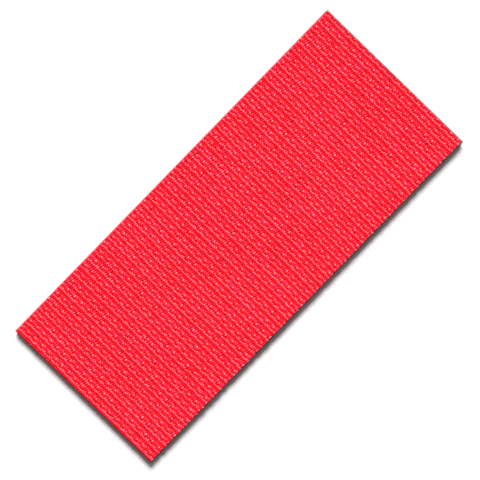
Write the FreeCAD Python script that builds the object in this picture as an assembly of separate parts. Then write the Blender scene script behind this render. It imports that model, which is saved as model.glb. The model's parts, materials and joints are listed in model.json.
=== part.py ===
import FreeCAD, Part
import os

# A flat cut of climbing skin, plush side up, lying on the liner that covers its glue.
# Millimetres. +X points the way the pile lies, +Z points up out of the pile.
# The origin is the middle of the liner's underside.

# Driving dimensions of the cut
SKIN_LENGTH = 118.9
SKIN_WIDTH = 50.0
LINER_EDGE = 0.25  # the liner stands out this far past the skin on every side

# Layers from the floor up, each by its thickness
LINER = 0.15
PEEL_GAP = 0.02  # air between liner and glue, so that the two bodies never touch
GLUE = 0.18
MEMBRANE = 0.12
CLOTH = 0.20
COATING = 0.14

# Ground weave: ends run along the length, picks run across it
END_DIAMETER = 0.24
END_PITCH = 0.637
PICK_DIAMETER = 0.40
ROW_PITCH = 1.299
FIRST_TIPS = 1.145  # from the +X end of the skin to the tips of the first row
LINE_ROWS = 46  # rows whose tips close up into a line
BEAD_ROWS = LINE_ROWS - 1  # rows between them, whose tips stay apart as beads
YARN_GAP = 0.02

# Pile: every row leans towards +X and ends in a crest above the foot of the next row
LINE_CREST = 1.80  # height of a line row's tips above the picks
BEAD_CREST = 1.55
VALLEY = 1.10  # height of the hollow between two rows
LEAN = 0.40  # the tips stand this far ahead of their own pick
DROP = 0.15  # the hollow starts this far ahead of the tips

# Sizes that follow
LINER_LENGTH = SKIN_LENGTH + 2 * LINER_EDGE
LINER_WIDTH = SKIN_WIDTH + 2 * LINER_EDGE
GLUE_Z = LINER + PEEL_GAP
MEMBRANE_Z = GLUE_Z + GLUE
CLOTH_Z = MEMBRANE_Z + MEMBRANE
COATING_Z = CLOTH_Z + CLOTH
END_Z = COATING_Z + COATING + YARN_GAP + END_DIAMETER / 2
PICK_Z = END_Z + END_DIAMETER / 2 + YARN_GAP + PICK_DIAMETER / 2
PILE_Z = PICK_Z + PICK_DIAMETER / 2 + YARN_GAP
END_COUNT = int((SKIN_WIDTH - END_DIAMETER) / END_PITCH) + 1
ROW_COUNT = LINE_ROWS + BEAD_ROWS


def layer(length, width, bottom, thickness):
    """A flat rectangular layer, centred on the origin, with its underside at bottom."""
    corner = FreeCAD.Vector(-length / 2, -width / 2, bottom)
    return Part.makeBox(length, width, thickness, corner)


def tips_x(index):
    """Where the tips of row number index lie along the length, counted from the +X end."""
    return SKIN_LENGTH / 2 - FIRST_TIPS - index * ROW_PITCH


def ground_ends():
    """The ends of the ground weave, straight yarns along the whole skin."""
    first = -(END_COUNT - 1) * END_PITCH / 2
    along = FreeCAD.Vector(1, 0, 0)
    ends = []
    for index in range(END_COUNT):
        start = FreeCAD.Vector(-SKIN_LENGTH / 2, first + index * END_PITCH, END_Z)
        ends.append(Part.makeCylinder(END_DIAMETER / 2, SKIN_LENGTH, start, along))
    return Part.makeCompound(ends)


def picks(first_index):
    """Every second pick from row first_index on, straight yarns across the skin."""
    across = FreeCAD.Vector(0, 1, 0)
    yarns = []
    for index in range(first_index, ROW_COUNT, 2):
        start = FreeCAD.Vector(tips_x(index) - LEAN, -SKIN_WIDTH / 2, PICK_Z)
        yarns.append(Part.makeCylinder(PICK_DIAMETER / 2, SKIN_WIDTH, start, across))
    return Part.makeCompound(yarns)


def pile_outline():
    """The pile seen from the side: a sawtooth that drops steeply ahead of each row's tips."""
    end = SKIN_LENGTH / 2
    points = [FreeCAD.Vector(end, 0, PILE_Z), FreeCAD.Vector(end, 0, PILE_Z + BEAD_CREST)]
    for index in range(ROW_COUNT):
        crest = BEAD_CREST if index % 2 else LINE_CREST
        points.append(FreeCAD.Vector(tips_x(index) + DROP, 0, PILE_Z + VALLEY))
        points.append(FreeCAD.Vector(tips_x(index), 0, PILE_Z + crest))
    points.append(FreeCAD.Vector(-end, 0, PILE_Z + VALLEY))
    points.append(FreeCAD.Vector(-end, 0, PILE_Z))
    points.append(points[0])
    return Part.makePolygon(points)


def pile():
    """The whole pile as one soft solid, its rows running straight across the skin."""
    side = Part.Face(Part.Wire(pile_outline()))
    side.translate(FreeCAD.Vector(0, -SKIN_WIDTH / 2, 0))
    return side.extrude(FreeCAD.Vector(0, SKIN_WIDTH, 0))


def nodes():
    """Every piece of the skin by its node name."""
    return {
        "release_liner": layer(LINER_LENGTH, LINER_WIDTH, 0, LINER),
        "glue_film": layer(SKIN_LENGTH, SKIN_WIDTH, GLUE_Z, GLUE),
        "membrane": layer(SKIN_LENGTH, SKIN_WIDTH, MEMBRANE_Z, MEMBRANE),
        "backing_cloth": layer(SKIN_LENGTH, SKIN_WIDTH, CLOTH_Z, CLOTH),
        "back_coating": layer(SKIN_LENGTH, SKIN_WIDTH, COATING_Z, COATING),
        "ground_ends": ground_ends(),
        "line_row_picks": picks(0),
        "bead_row_picks": picks(1),
        "pile": pile(),
    }


os.makedirs("parts", exist_ok=True)
for name, shape in nodes().items():
    shape.exportStep(os.path.join("parts", name + ".step"))
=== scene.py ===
import json
import math

import bmesh
import bpy
import numpy as np
from bpy.props import FloatProperty, FloatVectorProperty, IntProperty, PointerProperty
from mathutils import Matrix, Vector

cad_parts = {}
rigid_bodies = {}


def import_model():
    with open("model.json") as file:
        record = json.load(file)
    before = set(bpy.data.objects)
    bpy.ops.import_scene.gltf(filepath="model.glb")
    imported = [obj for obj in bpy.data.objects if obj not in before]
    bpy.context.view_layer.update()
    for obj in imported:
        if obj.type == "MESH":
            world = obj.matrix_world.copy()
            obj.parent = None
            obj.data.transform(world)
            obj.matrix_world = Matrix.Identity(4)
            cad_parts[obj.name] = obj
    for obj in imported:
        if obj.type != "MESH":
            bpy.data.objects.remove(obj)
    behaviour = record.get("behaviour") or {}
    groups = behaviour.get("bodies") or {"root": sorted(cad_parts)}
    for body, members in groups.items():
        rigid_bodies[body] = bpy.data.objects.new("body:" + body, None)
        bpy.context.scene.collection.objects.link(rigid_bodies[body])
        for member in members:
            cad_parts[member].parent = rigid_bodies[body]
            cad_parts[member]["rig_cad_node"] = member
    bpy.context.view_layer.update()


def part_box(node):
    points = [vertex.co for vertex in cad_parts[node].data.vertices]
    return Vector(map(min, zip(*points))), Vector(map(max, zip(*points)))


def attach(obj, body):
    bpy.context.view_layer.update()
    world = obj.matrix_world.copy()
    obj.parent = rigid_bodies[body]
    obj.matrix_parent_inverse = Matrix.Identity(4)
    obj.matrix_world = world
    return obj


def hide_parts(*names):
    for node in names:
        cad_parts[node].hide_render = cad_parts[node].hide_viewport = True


bl_info = {
    "name": "Climbing Skin Cut",
    "version": (1, 0, 0),
    "blender": (4, 5, 0),
    "location": "View3D > Sidebar > Climbing Skin",
    "description": "Builds a flat cut of plush climbing skin around its packed CAD frame",
    "category": "Object",
}

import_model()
MM = 0.001

PILE_LOW, PILE_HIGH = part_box("pile")
PILE_RISE = PILE_HIGH.z - PILE_LOW.z

# The satin order of the bead rows: which of four ends carries the bright bead in each row
SATIN = (0, 3, 1, 2)
REPEAT_ENDS = 4
REPEAT_ROWS = 8
BANDS = 6
REPEATS_IN_BAND = 2
REPEATS_ACROSS = 21


class SkinPileSettings(bpy.types.PropertyGroup):
    """Sizes and colours of the pile."""

    row_pitch: FloatProperty(
        name="Row pitch", description="From one row of tufts to the next",
        default=1.299 * MM, unit="LENGTH", precision=6,
    )
    first_tips: FloatProperty(
        name="First tips", description="From the skin's +X end to the tips of the first line row",
        default=1.145 * MM, unit="LENGTH", precision=6,
    )
    end_pitch: FloatProperty(
        name="End pitch", description="From one tuft to the next along a row",
        default=0.637 * MM, unit="LENGTH", precision=6,
    )
    fibre_radius: FloatProperty(
        name="Fibre radius", description="Radius of one bundle of filaments at its foot",
        default=0.125 * MM, unit="LENGTH", precision=6,
    )
    row_skew: FloatProperty(
        name="Row skew", description="How far the rows run off square with the cut, per unit width",
        default=0.00683,
    )
    end_skew: FloatProperty(
        name="End skew", description="How far the ends run off the cut's long side, per unit length",
        default=-0.01884,
    )
    waviness: FloatProperty(
        name="Waviness", description="How far rows wander from a straight line",
        default=0.12 * MM, unit="LENGTH", precision=6,
    )
    splay: FloatProperty(
        name="Splay", description="How far the pile spreads past its backing at the cut edges",
        default=0.03 * MM, unit="LENGTH", precision=6,
    )
    seed: IntProperty(name="Seed", description="Seed of every random draw in the pile", default=7)
    deep: FloatVectorProperty(
        name="Deep red", description="Colour of the tufts below their tips",
        subtype="COLOR", size=4, default=(0.96, 0.006, 0.014, 1), min=0, max=1,
    )
    # Foot red and root red are painted shade at the base of the tufts: fibres darken to them near the
    # ground, root red darkest between the filaments.
    foot: FloatVectorProperty(
        name="Foot red", description="Colour where the tufts leave the ground",
        subtype="COLOR", size=4, default=(0.92, 0.008, 0.016, 1), min=0, max=1,
    )
    root: FloatVectorProperty(
        name="Root red", description="Colour between the filaments where they leave the ground",
        subtype="COLOR", size=4, default=(0.50, 0.003, 0.006, 1), min=0, max=1,
    )
    middle: FloatVectorProperty(
        name="Mid red", description="Colour halfway up a tuft",
        subtype="COLOR", size=4, default=(0.96, 0.022, 0.085, 1), min=0, max=1,
    )
    # Pale tips and bright beads are partly the tips' own paler colour and partly painted highlight on
    # the crests and beads.
    pale: FloatVectorProperty(
        name="Pale tips", description="Colour of the tips along a line row",
        subtype="COLOR", size=4, default=(0.96, 0.25, 0.34, 1), min=0, max=1,
    )
    bright: FloatVectorProperty(
        name="Bright beads", description="Colour of the brightest beads",
        subtype="COLOR", size=4, default=(0.96, 0.60, 0.62, 1), min=0, max=1,
    )
    violet: FloatVectorProperty(
        name="Violet beads", description="Colour that the dim beads lean to",
        subtype="COLOR", size=4, default=(0.94, 0.05, 0.22, 1), min=0, max=1,
    )


class SkinStageSettings(bpy.types.PropertyGroup):
    """Light, floor and camera."""

    key: FloatProperty(name="Key", description="Strength of the key sun", default=5.95, min=0)
    key_softness: FloatProperty(
        name="Key softness", description="Angle that the key light fills",
        default=math.radians(23), subtype="ANGLE",
    )
    ambient: FloatProperty(
        name="Ambient", description="Strength of the light from all round", default=0.235,
    )
    lens: FloatProperty(
        name="Lens", description="Focal length, long enough to look flat", default=800, unit="CAMERA",
    )
    view_width: FloatProperty(
        name="View width", description="Width of the view at the cut",
        default=127.86 * MM, unit="LENGTH", precision=5,
    )


# ---------------------------------------------------------------- pile


# Each kind of tuft: shift of its crown along X, height, how far its fibres close in at the top,
# reach of its middle fibre past the others, tone of crown (partly painted highlight on the crest),
# tip thickness, how far behind its crown it turns pale, and how violet it is
TUFTS = {
    "long": dict(
        shift=0.04, rise=1.00, pinch=0.05, reach=0.36, crown=0.76, tip=0.50, pale=0.38, violet=0.0,
    ),
    "short": dict(
        shift=0.00, rise=1.00, pinch=0.05, reach=0.02, crown=0.76, tip=0.50, pale=0.38, violet=0.0,
    ),
    "bright": dict(
        shift=-0.26, rise=0.95, pinch=0.60, reach=0.28, crown=0.84, tip=0.66, pale=0.42, violet=0.0,
    ),
    "bead": dict(
        shift=0.02, rise=0.91, pinch=0.32, reach=0.20, crown=0.48, tip=0.58, pale=0.62, violet=0.0,
    ),
    "dim": dict(
        shift=0.28, rise=0.88, pinch=0.36, reach=0.08, crown=0.40, tip=0.60, pale=0.66, violet=0.7,
    ),
}
# The run over which a fibre turns pale, partly with painted highlight on its crest
PALE_RUN = 0.34 * MM
# How much thicker the tip of the middle fibre is
TOOTH_WIDER = 0.35
FIBRE_SIDES = 3
FIBRE_CUTS = 2
LEAN = 0.95 * MM
CROWN_SPREAD = 0.212 * MM
# A fibre's curve: how soon it rises, and how late it goes forward, goes across and levels off
RISE_EASE = 0.7
FORWARD_EASE = 1.6
ACROSS_EASE = 1.5
LEVEL_EASE = 2.2
# How much lower the middle fibre's tip is for its reach
REACH_DROP = 0.25
# The deep fibres under each crown's back: where they stand, where they end and how high,
# the height as a share of the crown's
UNDER = (
    (-0.45 * MM, 0.30 * MM, 0.84),
    (-0.10 * MM, 0.72 * MM, 0.92),
    (0.10 * MM, 1.00 * MM, 0.90),
)
UNDER_WIDER = 2.6
UNDER_TAPER = 1.1

# How one tuft differs from another in lean, height and tone, and one fibre's tip from its place
LEAN_STRAY = 0.05 * MM
HEIGHT_STRAY = 0.03
TONE_STRAY = 0.06
TIP_STRAY = 0.02 * MM
# The table of those differences: after this many columns or rows it begins again
STRAY_COLUMNS = 997
STRAY_ROWS = 991
COLUMN_STEP = 7
ROW_STEP = 13

# The slow waves that the rows follow
WAVES = 5
WAVE_SHORTEST = 14
WAVE_LONGEST = 45
WAVE_SUM = 2.2

# How far the tufts reach down round the picks
ROOT_DEPTH = 0.30 * MM
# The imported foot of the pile: its height, the ridge under each row, and its sides
FOOT_RISE = 1.0 * MM
FOOT_RIDGE = 0.12 * MM
FOOT_FLUTE = 0.03 * MM
FOOT_INSET = 0.08 * MM
SIDE_MARGIN = 0.01 * MM
# How far back from the cut a fibre may end
CUT_STRAY = 0.07 * MM
CUT_NEARNESS = 1e-7
MOST_CUT_SIDES = 12

# How far one filament's tone strays from its tuft's
STRAND_TONE = 0.06

# The ground weave: half width and half height of an end and of a pick, and how far each one rises
YARN_SIDES = 5
END_HALF = Vector((0.26 * MM, 0.12 * MM))
END_RISE = 0.17 * MM
PICK_HALF = Vector((0.52 * MM, 0.12 * MM))
PICK_RISE = 0.05 * MM
# The ends lie this share of a pitch beside the tufts
END_ASIDE = 0.25

# The sheets: mesh cell, unevenness of their cut edges, and the liner's pressed pattern
SHEET_CELL = 0.65 * MM
EDGE_WOBBLE = 0.012 * MM
EDGE_WAVE = 0.9 * MM
DIAMOND = 2.6 * MM
DIAMOND_DEPTH = 0.012 * MM
STIPPLE_DEPTH = DIAMOND_DEPTH * 0.8
EDGE_SOFTNESS = 0.2
SHARP = math.radians(60)

# The stage: which way the view's right and top point, where it looks, and the light
VIEW_RIGHT = Vector((0.697, -0.7175, 0)).normalized()
VIEW_UP = Vector((0.7175, 0.697, 0)).normalized()
LOOK_RIGHT = 0.221 * MM
LOOK_DOWN = 1.039 * MM
SENSOR_WIDTH = 36
NEAREST, FARTHEST = 0.1, 20
KEY_ELEVATION = math.radians(52.4)
KEY_FROM = Vector((0.679, 0.734, 0)).normalized()
SURROUND = (0.88, 1, 1, 1)
FLOOR_HALF = 20
FLOOR_TONE = (0.62, 0.62, 0.62, 1)


def tuft_kind(end, row):
    """Which kind of tuft stands at this end of this row of the repeat, rows counted from +X."""
    order = SATIN[(row // 2) % REPEAT_ENDS]
    place = (end - order) % REPEAT_ENDS
    if row % 2 == 0:
        return ("bright", "bead", "dim", "bead")[place]
    return ("short", "long", "long", "short")[place]


def add_fibre(bm, layers, root, foot, tip, radius, taper, pale_from, tone, violet, strand):
    """One closed, tapering fibre from its foot to its tip, both given from the tuft's root."""
    before = len(bm.verts)
    made = bmesh.ops.create_cone(
        bm, cap_ends=True, segments=FIBRE_SIDES, radius1=radius, radius2=radius * taper, depth=1
    )
    edges = {e for v in made["verts"] for e in v.link_edges}
    rising = [e for e in edges if abs(e.verts[0].co.z - e.verts[1].co.z) > 0.5]
    bmesh.ops.subdivide_edges(bm, edges=rising, cuts=FIBRE_CUTS, use_grid_fill=True)
    bm.verts.ensure_lookup_table()
    for vert in bm.verts[before:]:
        up = (vert.co.z + 0.5) ** RISE_EASE
        centre = Vector((
            foot.x + (tip.x - foot.x) * up**FORWARD_EASE,
            foot.y + (tip.y - foot.y) * up**ACROSS_EASE,
            foot.z + (tip.z - foot.z) * (1 - (1 - up) ** LEVEL_EASE),
        ))
        local = Vector((vert.co.x, vert.co.y, 0)) + centre
        vert.co = root + local
        vert[layers["from_root"]] = local
        vert[layers["up"]] = up
        # Tone rises over the last run before the crown: a paler tip, partly painted highlight on the
        # crest.
        pale = min(max((centre.x - pale_from) / PALE_RUN, 0), 1)
        vert[layers["tone"]] = tone * pale
        vert[layers["violet"]] = violet * pale
        vert[layers["strand"]] = strand


def add_tuft(bm, layers, root, kind, radius, rng):
    """One tuft: three fibres that arch over to its crown and the deep ones under their backs."""
    tuft = TUFTS[kind]
    height = PILE_RISE * tuft["rise"]
    crown_x = LEAN + tuft["shift"] * MM
    pale_from = crown_x - tuft["pale"] * MM

    def fibre(foot_x, foot_y, tip_x, tip_y, tip_z, thick, taper, tone, violet):
        tip = Vector((tip_x, tip_y, tip_z)) + Vector(rng.normal(0, TIP_STRAY, 3))
        foot = Vector((foot_x, foot_y, -ROOT_DEPTH))
        add_fibre(bm, layers, root, foot, tip, thick, taper, pale_from, tone, violet, rng.uniform())

    for side in (-1, 0, 1):
        across = side * CROWN_SPREAD
        reach = 0 if side else tuft["reach"] * MM
        taper = tuft["tip"] + (0 if side else TOOTH_WIDER)
        fibre(
            0, across, crown_x + reach, across * (1 - tuft["pinch"]), height - reach * REACH_DROP,
            radius, taper, tuft["crown"], tuft["violet"],
        )
    for foot_x, tip_x, share in UNDER:
        fibre(foot_x, 0, tip_x, 0, height * share, radius * UNDER_WIDER, UNDER_TAPER, 0, 0)


def repeat_mesh(settings):
    """One weave repeat of tufts, its first tuft at the origin and its rows stepping towards -X."""
    rng = np.random.default_rng(settings.seed)
    bm = bmesh.new()
    layers = {
        "from_root": bm.verts.layers.float_vector.new("from_root"),
        "up": bm.verts.layers.float.new("up"),
        "tone": bm.verts.layers.float.new("tone"),
        "violet": bm.verts.layers.float.new("violet"),
        "strand": bm.verts.layers.float.new("strand"),
    }
    for row in range(REPEAT_ROWS):
        half_step = 0.5 if row % 2 else 0.0
        for end in range(REPEAT_ENDS):
            root = Vector((-row * settings.row_pitch, -(end + half_step) * settings.end_pitch, 0))
            add_tuft(bm, layers, root, tuft_kind(end, row), settings.fibre_radius, rng)
    for face in bm.faces:
        face.smooth = True
    mesh = bpy.data.meshes.new("pile_repeat")
    bm.to_mesh(mesh)
    bm.free()
    return mesh


def arrayed(mesh, count, step):
    """A mesh holding count copies of mesh, each one step further."""
    piece = bpy.data.objects.new("array", mesh)
    bpy.context.scene.collection.objects.link(piece)
    array = piece.modifiers.new("Array", "ARRAY")
    array.count = count
    array.use_relative_offset = False
    array.use_constant_offset = True
    array.constant_offset_displace = step
    graph = bpy.context.evaluated_depsgraph_get()
    made = bpy.data.meshes.new_from_object(piece.evaluated_get(graph))
    bpy.data.objects.remove(piece)
    return made


def read_points(mesh, name=None):
    """The mesh's points, or its vector attribute of that name, as rows of three."""
    values = np.empty(len(mesh.vertices) * 3, dtype=np.float32)
    if name is None:
        mesh.vertices.foreach_get("co", values)
    else:
        mesh.attributes[name].data.foreach_get("vector", values)
    return values.reshape(-1, 3).astype(float)


def read_numbers(mesh, name):
    """The mesh's number attribute of that name."""
    values = np.empty(len(mesh.vertices), dtype=np.float32)
    mesh.attributes[name].data.foreach_get("value", values)
    return values.astype(float)


def wander(x, y, seed, size):
    """A slow wave over the cut, the same each time for one seed."""
    rng = np.random.default_rng(seed)
    total = np.zeros_like(x)
    for _ in range(WAVES):
        direction = rng.uniform(0, 2 * math.pi)
        length = rng.uniform(WAVE_SHORTEST, WAVE_LONGEST) * MM
        phase = rng.uniform(0, 2 * math.pi)
        along = x * math.cos(direction) + y * math.sin(direction)
        total += np.sin(along * 2 * math.pi / length + phase)
    return total * size / WAVE_SUM


def laid_out(x, y, settings):
    """Where a point of the square weave comes to lie on the cut, which runs a little off square."""
    return (
        x + settings.row_skew * y + wander(x, y, settings.seed + 2, settings.waviness),
        y + settings.end_skew * x + wander(x, y, settings.seed + 3, settings.waviness),
    )


def plant(mesh, settings, foot_z):
    """Gives every tuft its own lean, height and tone, then lays the rows as they run over the cut."""
    points = read_points(mesh)
    local = read_points(mesh, "from_root")
    up = read_numbers(mesh, "up")
    tone = read_numbers(mesh, "tone")
    root = points - local
    column = np.rint(root[:, 1] / settings.end_pitch * 2).astype(int) % STRAY_COLUMNS
    row = np.rint(root[:, 0] / settings.row_pitch).astype(int) % STRAY_ROWS
    rng = np.random.default_rng(settings.seed + 1)
    draws = rng.normal(0, 1, (STRAY_COLUMNS * COLUMN_STEP + STRAY_ROWS, 5))
    own = draws[(column * COLUMN_STEP + row * ROW_STEP) % len(draws)]
    local[:, 0] += own[:, 0] * LEAN_STRAY * up**2
    local[:, 1] += own[:, 1] * LEAN_STRAY * up**2
    local[:, 2] *= 1 + own[:, 2] * HEIGHT_STRAY
    tone += own[:, 3] * TONE_STRAY * up
    root[:, 0], root[:, 1] = laid_out(root[:, 0].copy(), root[:, 1].copy(), settings)
    root[:, 2] += foot_z
    mesh.vertices.foreach_set("co", (root + local).astype(np.float32).ravel())
    mesh.attributes["tone"].data.foreach_set("value", tone.astype(np.float32))


def first_root(settings):
    """Where the first tuft of the first row stands, one row and a few ends past the skin's corner."""
    return Vector((
        PILE_HIGH.x - settings.first_tips + settings.row_pitch - LEAN,
        (REPEATS_ACROSS * REPEAT_ENDS / 2 - 1.5) * settings.end_pitch,
        0,
    ))


def trim(mesh, low, high):
    """Cuts the mesh square at the skin's outline and closes every cut fibre, none quite in line."""
    bm = bmesh.new()
    bm.from_mesh(mesh)
    strand = bm.verts.layers.float.get("strand")
    for place, outward in (
        ((low.x, 0, 0), (-1, 0, 0)),
        ((high.x, 0, 0), (1, 0, 0)),
        ((0, low.y, 0), (0, -1, 0)),
        ((0, high.y, 0), (0, 1, 0)),
    ):
        cut = bmesh.ops.bisect_plane(
            bm, geom=bm.verts[:] + bm.edges[:] + bm.faces[:], dist=CUT_NEARNESS,
            plane_co=place, plane_no=outward, clear_outer=True,
        )
        edges = [g for g in cut["geom_cut"] if isinstance(g, bmesh.types.BMEdge)]
        if edges:
            closed = bmesh.ops.holes_fill(bm, edges=edges, sides=MOST_CUT_SIDES)
            for face in closed["faces"]:
                face.smooth = False
        if strand:
            for vert in {v for e in edges for v in e.verts}:
                vert.co -= Vector(outward) * CUT_STRAY * vert[strand]
    bm.to_mesh(mesh)
    bm.free()


def link(mesh, name, body, material, node):
    """A finished piece that rides on its body and stands for its CAD node."""
    piece = bpy.data.objects.new(name, mesh)
    bpy.context.scene.collection.objects.link(piece)
    mesh.materials.clear()
    mesh.materials.append(material)
    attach(piece, body)
    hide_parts(node)
    return piece


class SKIN_OT_plant_pile(bpy.types.Operator):
    """Plants the tufts of the pile in bands along the skin"""

    bl_idname = "skin.plant_pile"
    bl_label = "Plant Pile"

    def execute(self, context):
        settings = context.scene.skin_pile
        repeat = repeat_mesh(settings)
        across = arrayed(repeat, REPEATS_ACROSS, (0, -REPEAT_ENDS * settings.end_pitch, 0))
        band = arrayed(across, REPEATS_IN_BAND, (-REPEAT_ROWS * settings.row_pitch, 0, 0))
        material = pile_material(settings)
        first = first_root(settings)
        splay = Vector((settings.splay, settings.splay, 0))
        for index in range(BANDS):
            mesh = band.copy()
            step = REPEATS_IN_BAND * REPEAT_ROWS * settings.row_pitch
            points = read_points(mesh) + np.array(first - Vector((index * step, 0, 0)))
            mesh.vertices.foreach_set("co", points.astype(np.float32).ravel())
            plant(mesh, settings, PILE_LOW.z)
            trim(mesh, PILE_LOW - splay, PILE_HIGH + splay)
            link(mesh, f"pile_band_{index + 1}", "skin", material, "pile")
        return {"FINISHED"}


class SKIN_OT_pack_pile_foot(bpy.types.Operator):
    """Fills the foot of the pile, where the tufts stand too close to see between"""

    bl_idname = "skin.pack_pile_foot"
    bl_label = "Pack Pile Foot"

    def execute(self, context):
        settings = context.scene.skin_pile
        size = PILE_HIGH - PILE_LOW
        bm = bmesh.new()
        columns = 4 * round(size.x / settings.row_pitch)
        lines = round(size.y / settings.end_pitch)
        bmesh.ops.create_grid(bm, x_segments=columns, y_segments=lines, size=0.5)
        inset = 2 * FOOT_INSET
        bmesh.ops.scale(bm, vec=(size.x - inset, size.y - inset, 1), verts=bm.verts)
        place = PILE_LOW + Vector((size.x / 2, size.y / 2, -ROOT_DEPTH))
        bmesh.ops.translate(bm, vec=place, verts=bm.verts)
        raised = bmesh.ops.extrude_face_region(bm, geom=bm.faces[:])
        tops = [g for g in raised["geom"] if isinstance(g, bmesh.types.BMVert)]
        first = first_root(settings)
        for vert in tops:
            rows = (first.x - vert.co.x) / settings.row_pitch
            vert.co.z += FOOT_RISE + ROOT_DEPTH + FOOT_RIDGE * math.cos(2 * math.pi * rows)
        margin = Vector((FOOT_INSET, FOOT_INSET, 0))
        flute(bm, PILE_LOW + margin, PILE_HIGH - margin, settings)
        bmesh.ops.recalc_face_normals(bm, faces=bm.faces)
        mesh = bpy.data.meshes.new("pile_foot")
        bm.to_mesh(mesh)
        bm.free()
        # With up at 0 the whole block takes the root colours: dark red that is painted shade at the
        # foot of the pile.
        for name in ("tone", "violet", "up"):
            mesh.attributes.new(name, "FLOAT", "POINT")
        link(mesh, "pile_foot", "skin", pile_material(settings), "pile")
        return {"FINISHED"}


def flute(bm, low, high, settings):
    """Draws the sides of the foot in between its tufts, so that a cut side shows their roots."""
    for vert in bm.verts:
        x, y = vert.co.x, vert.co.y
        if x < low.x + SIDE_MARGIN or x > high.x - SIDE_MARGIN:
            turns = y / settings.end_pitch / 2
            vert.co.x -= math.copysign(FOOT_FLUTE * (1 - math.cos(2 * math.pi * turns)), x)
        if y < low.y + SIDE_MARGIN or y > high.y - SIDE_MARGIN:
            turns = x / settings.row_pitch * 2
            vert.co.y -= math.copysign(FOOT_FLUTE * (1 - math.cos(2 * math.pi * turns)), y)


# ---------------------------------------------------------------- ground weave


def yarn_mesh(length, crossings, half_width, half_height, rise):
    """One yarn along X, from x = 0 towards -X, that goes up and down over its crossings."""
    bm = bmesh.new()
    made = bmesh.ops.create_cone(bm, cap_ends=True, segments=YARN_SIDES, radius1=1, radius2=1, depth=1)
    edges = {e for v in made["verts"] for e in v.link_edges}
    rising = [e for e in edges if abs(e.verts[0].co.z - e.verts[1].co.z) > 0.5]
    bmesh.ops.subdivide_edges(bm, edges=rising, cuts=crossings - 1, use_grid_fill=True)
    for vert in bm.verts:
        along = vert.co.z + 0.5
        wave = rise * math.cos(math.pi * round(along * crossings))
        vert.co = Vector((-along * length, vert.co.x * half_width, vert.co.y * half_height + wave))
    bmesh.ops.recalc_face_normals(bm, faces=bm.faces)
    for face in bm.faces:
        face.smooth = True
    mesh = bpy.data.meshes.new("yarn")
    bm.to_mesh(mesh)
    bm.free()
    return mesh


def moved(mesh, shift, quarter_turn=False):
    """The mesh, turned from X to Y if asked, and moved by shift."""
    points = read_points(mesh)
    if quarter_turn:
        points = points[:, [1, 0, 2]] * (-1, 1, 1)
    mesh.vertices.foreach_set("co", (points + np.array(shift)).astype(np.float32).ravel())
    return mesh


def joined(meshes, name):
    """One mesh out of several."""
    bm = bmesh.new()
    for mesh in meshes:
        bm.from_mesh(mesh)
    made = bpy.data.meshes.new(name)
    bm.to_mesh(made)
    bm.free()
    return made


class SKIN_OT_weave_ground(bpy.types.Operator):
    """Weaves the ends and the two sets of picks that hold the tufts"""

    bl_idname = "skin.weave_ground"
    bl_label = "Weave Ground"

    def execute(self, context):
        settings = context.scene.skin_pile
        low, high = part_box("ground_ends")[0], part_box("line_row_picks")[1]
        middle = (low.z + high.z) / 2
        ends, rows = REPEATS_ACROSS * REPEAT_ENDS, BANDS * REPEATS_IN_BAND * REPEAT_ROWS
        length, width = rows * settings.row_pitch, ends * settings.end_pitch
        first = first_root(settings)
        material = ground_material()

        halves = []
        for side in (0, 1):
            end = yarn_mesh(length, rows, END_HALF.x, END_HALF.y, END_RISE * (-1) ** side)
            laid = arrayed(end, ends // 2, (0, -2 * settings.end_pitch, 0))
            across = first.y - (side + END_ASIDE) * settings.end_pitch
            halves.append(moved(laid, (first.x, across, middle)))
        self.finish(joined(halves, "ends"), "ground_ends_woven", "ground_ends", settings, material)

        for side, node in ((0, "bead_row_picks"), (1, "line_row_picks")):
            pick = yarn_mesh(width, ends, PICK_HALF.x, PICK_HALF.y, -PICK_RISE * (-1) ** side)
            turned = moved(pick, (0, 0, 0), quarter_turn=True)
            laid = arrayed(turned, rows // 2, (-2 * settings.row_pitch, 0, 0))
            across = first.y - END_ASIDE * settings.end_pitch
            place = (first.x - side * settings.row_pitch, across, middle)
            self.finish(moved(laid, place), node + "_woven", node, settings, material)
        return {"FINISHED"}

    def finish(self, mesh, name, node, settings, material):
        """Lays the yarns as they run over the cut and trims them to it."""
        points = read_points(mesh)
        points[:, 0], points[:, 1] = laid_out(points[:, 0].copy(), points[:, 1].copy(), settings)
        mesh.vertices.foreach_set("co", points.astype(np.float32).ravel())
        trim(mesh, PILE_LOW, PILE_HIGH)
        link(mesh, name, "skin", material, node)


# ---------------------------------------------------------------- sheets


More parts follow.
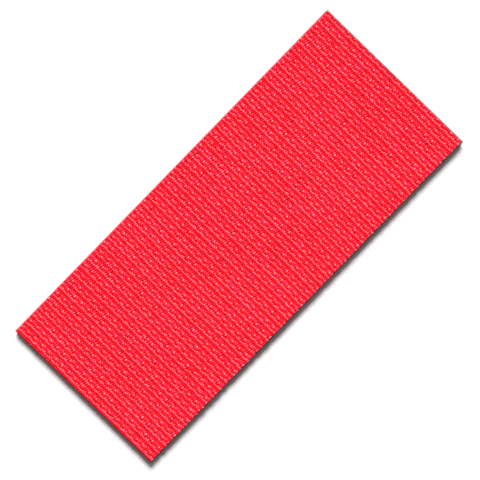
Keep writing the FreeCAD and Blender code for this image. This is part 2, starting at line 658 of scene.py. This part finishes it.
def sheet_mesh(node, wobble, seed, relief=None):
    """One thin layer as a closed slab with softened, slightly uneven cut edges.

    relief gives how far a point of the patterned side stands in from the flat, and whether that
    side is the top.
    """
    low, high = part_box(node)
    size = high - low
    bm = bmesh.new()
    bmesh.ops.create_grid(
        bm, x_segments=round(size.x / SHEET_CELL), y_segments=round(size.y / SHEET_CELL), size=0.5
    )
    bmesh.ops.scale(bm, vec=(size.x, size.y, 1), verts=bm.verts)
    bmesh.ops.translate(bm, vec=low + Vector((size.x / 2, size.y / 2, 0)), verts=bm.verts)
    raised = bmesh.ops.extrude_face_region(bm, geom=bm.faces[:])
    tops = [g for g in raised["geom"] if isinstance(g, bmesh.types.BMVert)]
    bmesh.ops.translate(bm, vec=(0, 0, size.z), verts=tops)
    bmesh.ops.recalc_face_normals(bm, faces=bm.faces)
    rng = np.random.default_rng(seed)
    phases = rng.uniform(0, 2 * math.pi, 4)
    inner_x, inner_y = size.x / 2 - SHEET_CELL / 2, size.y / 2 - SHEET_CELL / 2
    for vert in bm.verts:
        x, y = vert.co.x, vert.co.y
        if abs(x) > inner_x:
            vert.co.x -= math.copysign(wobble * (1 + math.sin(y / EDGE_WAVE + phases[0])), x)
        if abs(y) > inner_y:
            vert.co.y -= math.copysign(wobble * (1 + math.sin(x / EDGE_WAVE + phases[1])), y)
        if relief and abs(x) < inner_x and abs(y) < inner_y:
            shape, top_side = relief
            if (vert.co.z > (low.z + high.z) / 2) == top_side:
                vert.co.z += shape(x, y) * (-1 if top_side else 1)
    rim = [e for e in bm.edges if e.is_manifold and e.calc_face_angle() > SHARP]
    bmesh.ops.bevel(
        bm, geom=rim, offset=size.z * EDGE_SOFTNESS, segments=1, profile=0.5, affect="EDGES",
        material=-1,
    )
    for face in bm.faces:
        face.smooth = relief is not None
    mesh = bpy.data.meshes.new(node)
    bm.to_mesh(mesh)
    bm.free()
    return mesh


def crossed(x, y):
    """Two sets of slanting waves, 1 in the middle of a diamond and 0 along its sides."""
    step = DIAMOND / (2 * math.pi)
    return abs(math.sin((x + y) / step / 2) * math.sin((x - y) / step / 2))


def diamonds(x, y):
    """The liner's pressed diamonds."""
    return DIAMOND_DEPTH * (1 - crossed(x, y))


def stipple(x, y):
    """The dimples that the liner leaves in the glue."""
    return STIPPLE_DEPTH * crossed(x, y)


class SKIN_OT_lay_sheets(bpy.types.Operator):
    """Lays the liner, glue, membrane, backing cloth and coating on one another"""

    bl_idname = "skin.lay_sheets"
    bl_label = "Lay Sheets"

    def execute(self, context):
        layers = (
            ("release_liner", "liner", "liner_film", liner_material(), (diamonds, True)),
            ("glue_film", "skin", "skin_glue", glue_material(), (stipple, False)),
            ("membrane", "skin", "membrane_film", membrane_material(), None),
            ("backing_cloth", "skin", "backing_cloth", backing_material(), None),
            ("back_coating", "skin", "coating_rubber", coating_material(), None),
        )
        for index, (node, body, slot_name, material, relief) in enumerate(layers):
            wobble = 0.0 if body == "liner" else EDGE_WOBBLE
            piece = link(
                sheet_mesh(node, wobble, index, relief), node + "_sheet", body, material, node
            )
        return {"FINISHED"}


# ---------------------------------------------------------------- materials


def new_group(name, inputs, outputs):
    """A shader node group with these sockets, or None beside the group if it is built already."""
    made = bpy.data.node_groups.get(name)
    if made:
        return made, None, None, None
    group = bpy.data.node_groups.new(name, "ShaderNodeTree")
    for label, kind in inputs:
        group.interface.new_socket(name=label, in_out="INPUT", socket_type="NodeSocket" + kind)
    for label, kind in outputs:
        group.interface.new_socket(name=label, in_out="OUTPUT", socket_type="NodeSocket" + kind)
    return (
        group,
        group.links,
        group.nodes.new("NodeGroupInput"),
        group.nodes.new("NodeGroupOutput"),
    )


def grain_group():
    """Uneven matter: two tones in soft patches under a fine grain that also stands up as height."""
    group, links, given, result = new_group(
        "grain",
        (("Vector", "Vector"), ("Patch Scale", "Float"), ("Grain Scale", "Float"),
         ("Dark", "Color"), ("Light", "Color")),
        (("Color", "Color"), ("Mask", "Float"), ("Height", "Float")),
    )
    if links is None:
        return group
    patches = group.nodes.new("ShaderNodeTexNoise")
    patches.inputs["Detail"].default_value = 3
    links.new(given.outputs["Vector"], patches.inputs["Vector"])
    links.new(given.outputs["Patch Scale"], patches.inputs["Scale"])
    grain = group.nodes.new("ShaderNodeTexNoise")
    grain.inputs["Detail"].default_value = 5
    grain.inputs["Roughness"].default_value = 0.65
    links.new(given.outputs["Vector"], grain.inputs["Vector"])
    links.new(given.outputs["Grain Scale"], grain.inputs["Scale"])
    both = group.nodes.new("ShaderNodeMath")
    both.operation = "MULTIPLY_ADD"
    links.new(grain.outputs["Fac"], both.inputs[0])
    both.inputs[1].default_value = 0.5
    links.new(patches.outputs["Fac"], both.inputs[2])
    spread = group.nodes.new("ShaderNodeMapRange")
    spread.inputs["From Min"].default_value = 0.5
    spread.inputs["From Max"].default_value = 1.0
    links.new(both.outputs["Value"], spread.inputs["Value"])
    mix = group.nodes.new("ShaderNodeMix")
    mix.data_type = "RGBA"
    links.new(spread.outputs["Result"], mix.inputs["Factor"])
    links.new(given.outputs["Dark"], mix.inputs["A"])
    links.new(given.outputs["Light"], mix.inputs["B"])
    links.new(mix.outputs["Result"], result.inputs["Color"])
    links.new(spread.outputs["Result"], result.inputs["Mask"])
    links.new(grain.outputs["Fac"], result.inputs["Height"])
    return group


def strands_group():
    """Filaments side by side: a noise drawn out along the way that they run."""
    group, links, given, result = new_group(
        "strands",
        (("Vector", "Vector"), ("Fineness", "Vector")),
        (("Mask", "Float"),),
    )
    if links is None:
        return group
    drawn = group.nodes.new("ShaderNodeVectorMath")
    drawn.operation = "MULTIPLY"
    links.new(given.outputs["Vector"], drawn.inputs[0])
    links.new(given.outputs["Fineness"], drawn.inputs[1])
    noise = group.nodes.new("ShaderNodeTexNoise")
    noise.inputs["Scale"].default_value = 1
    noise.inputs["Detail"].default_value = 2
    links.new(drawn.outputs["Vector"], noise.inputs["Vector"])
    links.new(noise.outputs["Fac"], result.inputs["Mask"])
    return group


def weave_group():
    """A plain weave: yarns that cross and take turns on top."""
    group, links, given, result = new_group(
        "weave",
        (("Vector", "Vector"), ("Pitch", "Vector")),
        (("Mask", "Float"), ("Height", "Float")),
    )
    if links is None:
        return group
    turns = group.nodes.new("ShaderNodeVectorMath")
    turns.operation = "DIVIDE"
    links.new(given.outputs["Vector"], turns.inputs[0])
    links.new(given.outputs["Pitch"], turns.inputs[1])
    split = group.nodes.new("ShaderNodeSeparateXYZ")
    links.new(turns.outputs["Vector"], split.inputs["Vector"])
    waves = []
    for axis in ("X", "Y"):
        angle = group.nodes.new("ShaderNodeMath")
        angle.operation = "MULTIPLY"
        angle.inputs[1].default_value = math.pi
        links.new(split.outputs[axis], angle.inputs[0])
        wave = group.nodes.new("ShaderNodeMath")
        wave.operation = "SINE"
        links.new(angle.outputs["Value"], wave.inputs[0])
        waves.append(wave)
    crossing = group.nodes.new("ShaderNodeMath")
    crossing.operation = "MULTIPLY"
    links.new(waves[0].outputs["Value"], crossing.inputs[0])
    links.new(waves[1].outputs["Value"], crossing.inputs[1])
    rise = group.nodes.new("ShaderNodeMath")
    rise.operation = "ABSOLUTE"
    links.new(crossing.outputs["Value"], rise.inputs[0])
    level = group.nodes.new("ShaderNodeMapRange")
    level.inputs["From Min"].default_value = -1
    links.new(crossing.outputs["Value"], level.inputs["Value"])
    links.new(level.outputs["Result"], result.inputs["Mask"])
    links.new(rise.outputs["Value"], result.inputs["Height"])
    return group


def new_material(name):
    """An empty node material with its output and its Principled shader, joined."""
    material = bpy.data.materials.get(name) or bpy.data.materials.new(name)
    material.use_nodes = True
    nodes = material.node_tree.nodes
    nodes.clear()
    output = nodes.new("ShaderNodeOutputMaterial")
    shader = nodes.new("ShaderNodeBsdfPrincipled")
    material.node_tree.links.new(shader.outputs["BSDF"], output.inputs["Surface"])
    return material, nodes, material.node_tree.links, shader


def placed(nodes, links, group, **values):
    """The group in a material, on Object coordinates, with its own values."""
    node = nodes.new("ShaderNodeGroup")
    node.node_tree = group
    place = nodes.new("ShaderNodeTexCoord")
    links.new(place.outputs["Object"], node.inputs["Vector"])
    for label, value in values.items():
        node.inputs[label.replace("_", " ")].default_value = value
    return node


def add_ramp(nodes, stops):
    """A colour ramp with these (place, colour) stops."""
    ramp = nodes.new("ShaderNodeValToRGB")
    elements = ramp.color_ramp.elements
    while len(elements) < len(stops):
        elements.new(0.5)
    for element, (place, colour) in zip(elements, stops):
        element.position = place
        element.color = tuple(colour)
    return ramp


def add_bump(nodes, links, shader, height, distance):
    """Relief of this depth from a height, in metres."""
    bump = nodes.new("ShaderNodeBump")
    bump.inputs["Strength"].default_value = 1
    bump.inputs["Distance"].default_value = distance
    links.new(height, bump.inputs["Height"])
    links.new(bump.outputs["Normal"], shader.inputs["Normal"])


def add_range(nodes, links, value, low, high):
    """The value, which goes from 0 to 1, spread from low to high."""
    spread = nodes.new("ShaderNodeMapRange")
    spread.inputs["To Min"].default_value = low
    spread.inputs["To Max"].default_value = high
    links.new(value, spread.inputs["Value"])
    return spread.outputs["Result"]


def attribute(nodes, name):
    """The numbers of that name on the piece's own points."""
    node = nodes.new("ShaderNodeAttribute")
    node.attribute_name = name
    return node


def grain_material(name, dark, light, patch_scale, grain_scale, rough, relief):
    """A film, glue or rubber with uneven tone, uneven gloss and a fine grain."""
    material, nodes, links, shader = new_material(name)
    grain = placed(
        nodes, links, grain_group(),
        Patch_Scale=patch_scale, Grain_Scale=grain_scale, Dark=(*dark, 1), Light=(*light, 1),
    )
    links.new(grain.outputs["Color"], shader.inputs["Base Color"])
    links.new(add_range(nodes, links, grain.outputs["Mask"], *rough), shader.inputs["Roughness"])
    add_bump(nodes, links, shader, grain.outputs["Height"], relief)
    return material


def liner_material():
    """Grey release film, satin, with a fine haze."""
    return grain_material(
        "liner_film", dark=(0.090, 0.090, 0.095), light=(0.110, 0.110, 0.115),
        patch_scale=350, grain_scale=6000, rough=(0.32, 0.46), relief=0.003 * MM,
    )


def glue_material():
    """Tacky hot-melt glue: amber, mottled, with a wet gloss."""
    material = grain_material(
        "skin_glue", dark=(0.25, 0.135, 0.040), light=(0.28, 0.165, 0.055),
        patch_scale=500, grain_scale=3600, rough=(0.24, 0.38), relief=0.008 * MM,
    )
    shader = next(n for n in material.node_tree.nodes if n.type == "BSDF_PRINCIPLED")
    shader.inputs["Coat Weight"].default_value = 0.25
    shader.inputs["Coat Roughness"].default_value = 0.2
    return material


def membrane_material():
    """Off-white waterproof film."""
    return grain_material(
        "membrane_film", dark=(0.62, 0.62, 0.60), light=(0.78, 0.78, 0.76),
        patch_scale=300, grain_scale=4000, rough=(0.45, 0.65), relief=0.004 * MM,
    )


def coating_material():
    """Dark red rubber that locks the tufts in the ground."""
    return grain_material(
        "coating_rubber", dark=(0.18, 0.015, 0.02), light=(0.33, 0.045, 0.05),
        patch_scale=700, grain_scale=6000, rough=(0.55, 0.80), relief=0.02 * MM,
    )


def backing_material():
    """Black woven polyester with a dull sheen."""
    material, nodes, links, shader = new_material("backing_cloth")
    weave = placed(nodes, links, weave_group(), Pitch=(0.30 * MM, 0.30 * MM, 1))
    grain = placed(
        nodes, links, grain_group(),
        Patch_Scale=400, Grain_Scale=9000,
        Dark=(0.030, 0.030, 0.034, 1), Light=(0.075, 0.075, 0.08, 1),
    )
    # Painted shade: the cloth is multiplied darker in the gaps between its yarns, where the weave
    # height is low.
    mix = nodes.new("ShaderNodeMix")
    mix.data_type = "RGBA"
    mix.blend_type = "MULTIPLY"
    mix.inputs["Factor"].default_value = 0.5
    links.new(grain.outputs["Color"], mix.inputs["A"])
    links.new(weave.outputs["Height"], mix.inputs["B"])
    links.new(mix.outputs["Result"], shader.inputs["Base Color"])
    links.new(add_range(nodes, links, weave.outputs["Mask"], 0.55, 0.8), shader.inputs["Roughness"])
    shader.inputs["Sheen Weight"].default_value = 0.2
    add_bump(nodes, links, shader, weave.outputs["Height"], 0.05 * MM)
    return material


def ground_material():
    """Dyed ground yarn, its filaments twisted round it."""
    material, nodes, links, shader = new_material("ground_yarn")
    strands = placed(nodes, links, strands_group(), Fineness=(9000, 9000, 16000))
    ramp = add_ramp(nodes, ((0.3, (0.52, 0.008, 0.014, 1)), (0.7, (0.90, 0.03, 0.045, 1))))
    links.new(strands.outputs["Mask"], ramp.inputs["Fac"])
    links.new(ramp.outputs["Color"], shader.inputs["Base Color"])
    links.new(add_range(nodes, links, strands.outputs["Mask"], 0.8, 0.5), shader.inputs["Roughness"])
    shader.inputs["Sheen Weight"].default_value = 0.3
    add_bump(nodes, links, shader, strands.outputs["Mask"], 0.03 * MM)
    return material


def pile_material(settings):
    """Dyed nylon filaments: darker at the foot, which is painted shade, and paler towards the tips,
    partly their own colour and partly painted highlight.
    """
    material, nodes, links, shader = new_material("pile_yarn")
    strands = placed(nodes, links, strands_group(), Fineness=(14000, 22000, 2500))
    stray = add_range(nodes, links, strands.outputs["Mask"], -STRAND_TONE, STRAND_TONE)
    tone = nodes.new("ShaderNodeMath")
    tone.use_clamp = True
    links.new(attribute(nodes, "tone").outputs["Fac"], tone.inputs[0])
    links.new(stray, tone.inputs[1])
    # Tone 0 is the deep red; the paler stops, pale tips and bright beads, are partly the tips' own
    # colour and partly painted highlight.
    ramp = add_ramp(nodes, (
        (0.0, settings.deep),
        (0.30, settings.middle),
        (0.65, settings.pale),
        (1.0, settings.bright),
    ))
    links.new(tone.outputs["Value"], ramp.inputs["Fac"])
    violet = nodes.new("ShaderNodeMix")
    violet.data_type = "RGBA"
    links.new(attribute(nodes, "violet").outputs["Fac"], violet.inputs["Factor"])
    links.new(ramp.outputs["Color"], violet.inputs["A"])
    violet.inputs["B"].default_value = tuple(settings.violet)
    # Painted shade at the foot: near the ground each fibre, and the whole pile foot, darkens to the
    # root colours, darkest between the filaments.
    foot = nodes.new("ShaderNodeMix")
    foot.data_type = "RGBA"
    up = attribute(nodes, "up").outputs["Fac"]
    links.new(add_range(nodes, links, up, 0, 4), foot.inputs["Factor"])
    roots = add_ramp(nodes, ((0.38, settings.root), (0.60, settings.foot)))
    links.new(strands.outputs["Mask"], roots.inputs["Fac"])
    links.new(roots.outputs["Color"], foot.inputs["A"])
    links.new(violet.outputs["Result"], foot.inputs["B"])
    worn = nodes.new("ShaderNodeMix")
    worn.data_type = "RGBA"
    worn.blend_type = "MULTIPLY"
    links.new(add_range(nodes, links, strands.outputs["Mask"], 0.5, 0), worn.inputs["Factor"])
    links.new(foot.outputs["Result"], worn.inputs["A"])
    worn.inputs["B"].default_value = tuple(settings.middle)
    links.new(worn.outputs["Result"], shader.inputs["Base Color"])
    links.new(add_range(nodes, links, strands.outputs["Mask"], 0.75, 0.5), shader.inputs["Roughness"])
    shader.inputs["Specular IOR Level"].default_value = 0.1
    add_bump(nodes, links, shader, strands.outputs["Mask"], 0.012 * MM)
    return material


# ---------------------------------------------------------------- stage


class SKIN_OT_set_stage(bpy.types.Operator):
    """Sets the floor, the soft key light, the surrounding light and the camera"""

    bl_idname = "skin.set_stage"
    bl_label = "Set Stage"

    def execute(self, context):
        settings = context.scene.skin_stage
        bm = bmesh.new()
        bmesh.ops.create_grid(bm, x_segments=1, y_segments=1, size=FLOOR_HALF)
        mesh = bpy.data.meshes.new("floor")
        bm.to_mesh(mesh)
        bm.free()
        floor = bpy.data.objects.new("floor", mesh)
        context.scene.collection.objects.link(floor)
        material, nodes, links, shader = new_material("floor")
        shader.inputs["Base Color"].default_value = FLOOR_TONE
        shader.inputs["Roughness"].default_value = 0.9
        shader.inputs["Specular IOR Level"].default_value = 0.0
        mesh.materials.append(material)

        towards = KEY_FROM * math.cos(KEY_ELEVATION) + Vector((0, 0, math.sin(KEY_ELEVATION)))
        lamp = bpy.data.lights.new("key", "SUN")
        lamp.energy = settings.key
        lamp.angle = settings.key_softness
        key = bpy.data.objects.new("key", lamp)
        key.rotation_mode = "QUATERNION"
        key.rotation_quaternion = towards.to_track_quat("Z", "Y")
        context.scene.collection.objects.link(key)

        world = bpy.data.worlds.new("surround")
        world.use_nodes = True
        nodes, links = world.node_tree.nodes, world.node_tree.links
        background = nodes["Background"]
        background.inputs["Color"].default_value = SURROUND
        seen = nodes.new("ShaderNodeLightPath")
        strength = nodes.new("ShaderNodeMapRange")
        strength.inputs["To Min"].default_value = settings.ambient
        links.new(seen.outputs["Is Camera Ray"], strength.inputs["Value"])
        links.new(strength.outputs["Result"], background.inputs["Strength"])
        context.scene.world = world

        lens = bpy.data.cameras.new("camera")
        lens.lens = settings.lens
        lens.sensor_width = SENSOR_WIDTH
        camera = bpy.data.objects.new("camera", lens)
        target = VIEW_RIGHT * LOOK_RIGHT - VIEW_UP * LOOK_DOWN
        distance = settings.view_width * settings.lens / lens.sensor_width
        camera.location = target + Vector((0, 0, distance + PILE_HIGH.z))
        camera.rotation_euler = (0, 0, math.atan2(VIEW_RIGHT.y, VIEW_RIGHT.x))
        lens.clip_start, lens.clip_end = NEAREST, FARTHEST
        context.scene.collection.objects.link(camera)
        context.scene.camera = camera
        context.scene.view_settings.view_transform = "Standard"
        return {"FINISHED"}


class SKIN_PT_build(bpy.types.Panel):
    """The steps that build the skin, in order"""

    bl_idname = "SKIN_PT_build"
    bl_label = "Climbing Skin"
    bl_space_type = "VIEW_3D"
    bl_region_type = "UI"
    bl_category = "Climbing Skin"

    def draw(self, context):
        for step in STEPS:
            self.layout.operator(step)


STEPS = (
    "skin.set_stage",
    "skin.pack_pile_foot",
    "skin.plant_pile",
    "skin.weave_ground",
    "skin.lay_sheets",
)
CLASSES = (
    SkinPileSettings,
    SkinStageSettings,
    SKIN_OT_plant_pile,
    SKIN_OT_pack_pile_foot,
    SKIN_OT_weave_ground,
    SKIN_OT_lay_sheets,
    SKIN_OT_set_stage,
    SKIN_PT_build,
)


def register():
    for cls in CLASSES:
        bpy.utils.register_class(cls)
    bpy.types.Scene.skin_pile = PointerProperty(type=SkinPileSettings)
    bpy.types.Scene.skin_stage = PointerProperty(type=SkinStageSettings)


def unregister():
    del bpy.types.Scene.skin_stage
    del bpy.types.Scene.skin_pile
    for cls in reversed(CLASSES):
        bpy.utils.unregister_class(cls)


def main():
    register()
    for step in STEPS:
        group, name = step.split(".")
        getattr(getattr(bpy.ops, group), name)()


if __name__ == "__main__":
    main()
